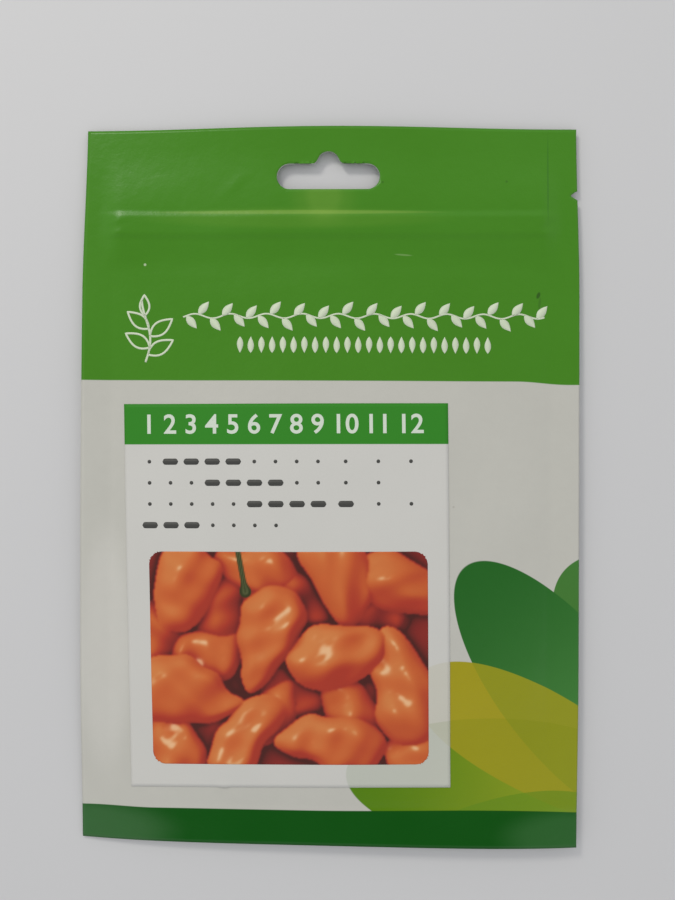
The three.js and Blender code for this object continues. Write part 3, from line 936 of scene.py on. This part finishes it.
def header_ornament():
    """White print in the green header: a drawn sprig, a running vine of leaves and a row of seeds."""
    y = np.linspace(STEM_LOW, STEM_HIGH, 30)
    grids = [ribbon(stem_x(y), y, STEM_PEN)]
    for up, turn, length in SPRIG_LEAVES:
        grids.append(leaf_line(stem_x(up), up, math.radians(turn), length, LEAF_SHARE * length, LEAF_PEN))
    x = np.linspace(*VINE_ENDS, 240)
    grids.append(ribbon(x, vine_y(x), VINE_PEN))
    for n in range(VINE_LEAVES):
        root = VINE_FIRST + VINE_STEP * n
        side = 1 if n % 2 else -1
        grids.append(leaf_blade(root, vine_y(root), math.radians(side * VINE_SLANT), *VINE_LEAF))
    for n in range(ROW_SEEDS):
        side = 1 if n % 2 else -1
        root = ROW_FIRST + ROW_STEP * n
        grids.append(leaf_blade(root, ROW_UP - side * ROW_SEED[0] / 2, math.radians(side * 90), *ROW_SEED))
    inked("header_ornament", grids, front_outside, finish["white_ink"])


# The label's twelve columns: a two-digit number gets a wider one.
NUMBER_UP, NUMBER_TALL, NUMBER_SHARE, NUMBER_BOLD, COLUMN_LEFT = 41.2, 4.7, 0.72, 0.10, -33.0
COLUMNS = COLUMN_LEFT + np.array([0, 5.1, 10.2, 15.3, 20.4, 25.5, 30.6, 35.7, 40.8, 47.4, 55.2, 63.0])
# The label's rows: height, columns in use, and the first and last column that the bars are in.
SOWING = [(32.4, 12, 1, 4), (27.3, 11, 3, 6), (22.2, 12, 5, 9), (17.1, 7, 0, 2)]
BAR_REACH, BAR_HALF, DOT_HALF = 1.9, 0.75, 0.45


def numbers():
    """The label's header numbers, 1 to 12, from the built-in letter shapes, bent onto the label.

    They are made thick, which tells their upper side from the lower one.
    """
    for n, middle in enumerate(COLUMNS):
        curve = bpy.data.curves.new("number", "FONT")
        curve.body = str(n + 1)
        curve.align_x, curve.align_y = "CENTER", "CENTER"
        curve.size = NUMBER_TALL / NUMBER_SHARE
        curve.extrude = 0.5
        curve.offset = NUMBER_BOLD
        maker = bpy.data.objects.new("number", curve)
        shape = bmesh.new()
        shape.from_mesh(bpy.data.meshes.new_from_object(maker))
        bmesh.ops.remove_doubles(shape, verts=shape.verts, dist=0.0005)
        shape.verts.index_update()
        flat = np.array([corner.co for corner in shape.verts], float)
        faces = [[corner.index for corner in face.verts] for face in shape.faces]
        shape.free()
        x, y = on_label(flat[:, 0] + middle, flat[:, 1] + NUMBER_UP)
        z = label_upper(x, y) + np.where(flat[:, 2] > 0, INK, -ROOT)
        looks, sides = [finish["number_ink"]], np.ones(len(faces), bool)
        ob = piece(f"label_number_{n + 1}", np.stack([x, y, z], -1), faces, looks, flat=sides)
        bpy.data.objects.remove(maker)
        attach(ob, "root")


def sowing_bars():
    """Four rows under the header: a bar in some of the twelve columns and a dot in the others.

    Each is a ribbon, and half its width falls as a quarter circle toward its ends.
    """
    grids = []
    t = np.linspace(-1, 1, 15)
    for up, used, first, last in SOWING:
        for n, middle in enumerate(COLUMNS[:used]):
            half, reach = (BAR_HALF, BAR_REACH) if first <= n <= last else (DOT_HALF, DOT_HALF)
            past = np.maximum(0, (np.abs(t) * reach - reach + half) / half)
            width = half * np.sqrt(np.clip(1 - past ** 2, 0.001, 1))
            grids.append(on_label(*ribbon(middle + t * reach, up + 0 * t, width)))
    inked("sowing_bars", grids, label_upper, finish["dark_ink"])


# The seeds: rows, seeds in the widest row, spacing, the rows' spacing as a share of it, the bed's
# middle and how round it is, how far every second row is shifted, and how high a seed lies above
# the back film. Then a seed's half length, half width and half thickness, how blunt one side is, how
# far it strays and tilts, and its corners.
SEED_ROWS, SEEDS_WIDE, SEED_STEP, ROW_SHARE = 6, 11, 3.3, 0.84
BED_X, BED_Y, BED_ROUND, ROW_SHIFT, SEED_LIFT = 1, -58, 0.62, 0.25, 0.15 + 0.45
SEED_LONG, SEED_WIDE, SEED_THICK = 1.6, 1.35, 0.36
SEED_BLUNT, SEED_STRAY, SEED_TILT, SEED_SIDES = 0.16, 0.2, 0.05, 18


def seeds():
    """Flat seeds strewn in rows: each a disc with one blunt side, a raised rim and a low middle.

    Angle round the seed is one parameter. The other runs from the middle of the top over the rim
    to the middle of the bottom.
    """
    draw = np.random.default_rng(5)
    angle = np.linspace(0, 2 * np.pi, SEED_SIDES, endpoint=False)
    reach = np.array([0.02, 0.45, 0.72, 0.9, 1.0, 0.9, 0.72, 0.45, 0.02])
    lift = np.array([0.55, 0.6, 0.85, 0.7, 0.0, -0.7, -0.85, -0.6, -0.55])
    outline = 1 - SEED_BLUNT * bump(angle - 0.4, 0.5)
    ring = np.arange(SEED_SIDES)
    bands = []
    for level in range(len(reach) - 1):
        a, b = level * SEED_SIDES + ring, level * SEED_SIDES + np.roll(ring, -1)
        bands.append(np.stack([a, a + SEED_SIDES, b + SEED_SIDES, b], -1))
    bands = np.concatenate(bands)
    caps = [ring, ((len(reach) - 1) * SEED_SIDES + ring)[::-1]]
    points, faces, first = [], [], 0
    for row in range(SEED_ROWS):
        from_middle = 2 * row / (SEED_ROWS - 1) - 1
        in_row = round(SEEDS_WIDE * math.sqrt(1 - BED_ROUND * from_middle ** 2))
        for n in range(in_row):
            place = n - (in_row - 1) / 2 + ROW_SHIFT * (row % 2)
            x = BED_X + place * SEED_STEP + draw.uniform(-SEED_STRAY, SEED_STRAY)
            y = BED_Y + (row - (SEED_ROWS - 1) / 2) * SEED_STEP * ROW_SHARE
            y = y + draw.uniform(-SEED_STRAY, SEED_STRAY)
            turn = draw.uniform(0, 2 * np.pi)
            tilt_x, tilt_y = draw.uniform(-SEED_TILT, SEED_TILT, 2)
            px = SEED_LONG * reach[:, None] * outline * np.cos(angle)
            py = SEED_WIDE * reach[:, None] * outline * np.sin(angle)
            pz = SEED_THICK * lift[:, None] + 0 * angle
            wx, wy = turned(0, 0, turn, px, py)
            wz = pz + back_inside(x, y) + SEED_LIFT + tilt_x * wx + tilt_y * wy
            points.append(np.stack([x + wx, y + wy, wz], -1).reshape(-1, 3))
            faces += (bands + first).tolist() + [(cap + first).tolist() for cap in caps]
            first += len(reach) * SEED_SIDES
    ob = piece("loose_seeds", np.concatenate(points), faces, [finish["seed"]])
    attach(ob, "root")
    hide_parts("seeds")


def zip_strips():
    """The zip's strips keep their own shape and get a milky plastic."""
    for name in ["zip_groove_strip", "zip_rib_strip"]:
        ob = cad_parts[name]
        ob.data.materials.clear()
        ob.data.materials.append(finish["zip"])


# Floor, light and camera.


def floor():
    """A pale sheet of paper under the packet, large enough for every view."""
    half, low = 6000, -0.04
    corners = [(-half, -half, low), (half, -half, low), (half, half, low), (-half, half, low)]
    ob = piece("floor", corners, [[0, 1, 2, 3]], [finish["floor"]], flat=np.array([True]))


def lamp(name, place, target, size, power, colour=(1, 1, 1)):
    """A square area light at place, facing target."""
    data = bpy.data.lights.new(name, "AREA")
    data.size = size
    data.energy = power
    data.color = colour
    ob = bpy.data.objects.new(name, data)
    aim = np.array(place) - np.array(target)
    ob.location = place
    from_z = math.atan2(math.hypot(aim[0], aim[1]), aim[2])
    ob.rotation_euler = (from_z, 0, math.atan2(aim[1], aim[0]) + math.pi / 2)
    bpy.context.scene.collection.objects.link(ob)


def light():
    """A soft lamp up and to the left, and pale surroundings that reflect dimly straight above."""
    lamp("key", (-0.30, 0.514, 0.471), (0, 0, 0), 0.15, 1.72, (1.0, 0.97, 0.90))
    strength, dimming, dim_from, dim_full = 0.745, -0.62, 0.82, 0.95
    world = bpy.data.worlds.new("surrounding")
    world.use_nodes = True
    tree = world.node_tree
    ground = tree.nodes["Background"]
    ground.inputs["Color"].default_value = (0.985, 0.992, 1.02, 1)
    upwards = add(tree, "ShaderNodeSeparateXYZ", {0: add(tree, "ShaderNodeTexCoord").outputs["Generated"]})
    overhead = stepwise(tree, upwards.outputs[2], dim_from, dim_full)
    reflected = add(tree, "ShaderNodeLightPath").outputs["Is Glossy Ray"]
    dimmed = sums(tree, "MULTIPLY", overhead, reflected)
    tree.links.new(sums(tree, "MULTIPLY_ADD", dimmed, dimming, strength), ground.inputs["Strength"])
    bpy.context.scene.world = world
    bpy.context.scene.view_settings.view_transform = "Standard"


def camera():
    """Looks straight down from 200 mm, turned by the small angles found from the packet's corners."""
    over_x, over_y, away = 2.08, 8.54, 200.0
    focal_pixels, tall_pixels, sensor = 820.5, 900, 36
    turn_x, turn_y, turn_z = (math.radians(v) for v in (-0.15, -1.21, -0.30))
    seen = Matrix.Rotation(turn_y, 3, "Y") @ Matrix.Rotation(turn_x, 3, "X") @ Matrix.Rotation(turn_z, 3, "Z")
    back = seen.transposed()
    data = bpy.data.cameras.new("camera")
    data.sensor_fit = "VERTICAL"
    data.sensor_height = sensor
    data.lens = focal_pixels / tall_pixels * sensor
    data.clip_start = 0.01
    ob = bpy.data.objects.new("camera", data)
    matrix = back.to_4x4()
    offset = back.col[2] * away
    matrix.translation = ((over_x + offset[0]) * MM, (over_y + offset[1]) * MM, offset[2] * MM)
    ob.matrix_world = matrix
    bpy.context.scene.collection.objects.link(ob)
    bpy.context.scene.camera = ob


camera()
films()
label()
header_ornament()
numbers()
sowing_bars()
seeds()
zip_strips()
floor()
light()
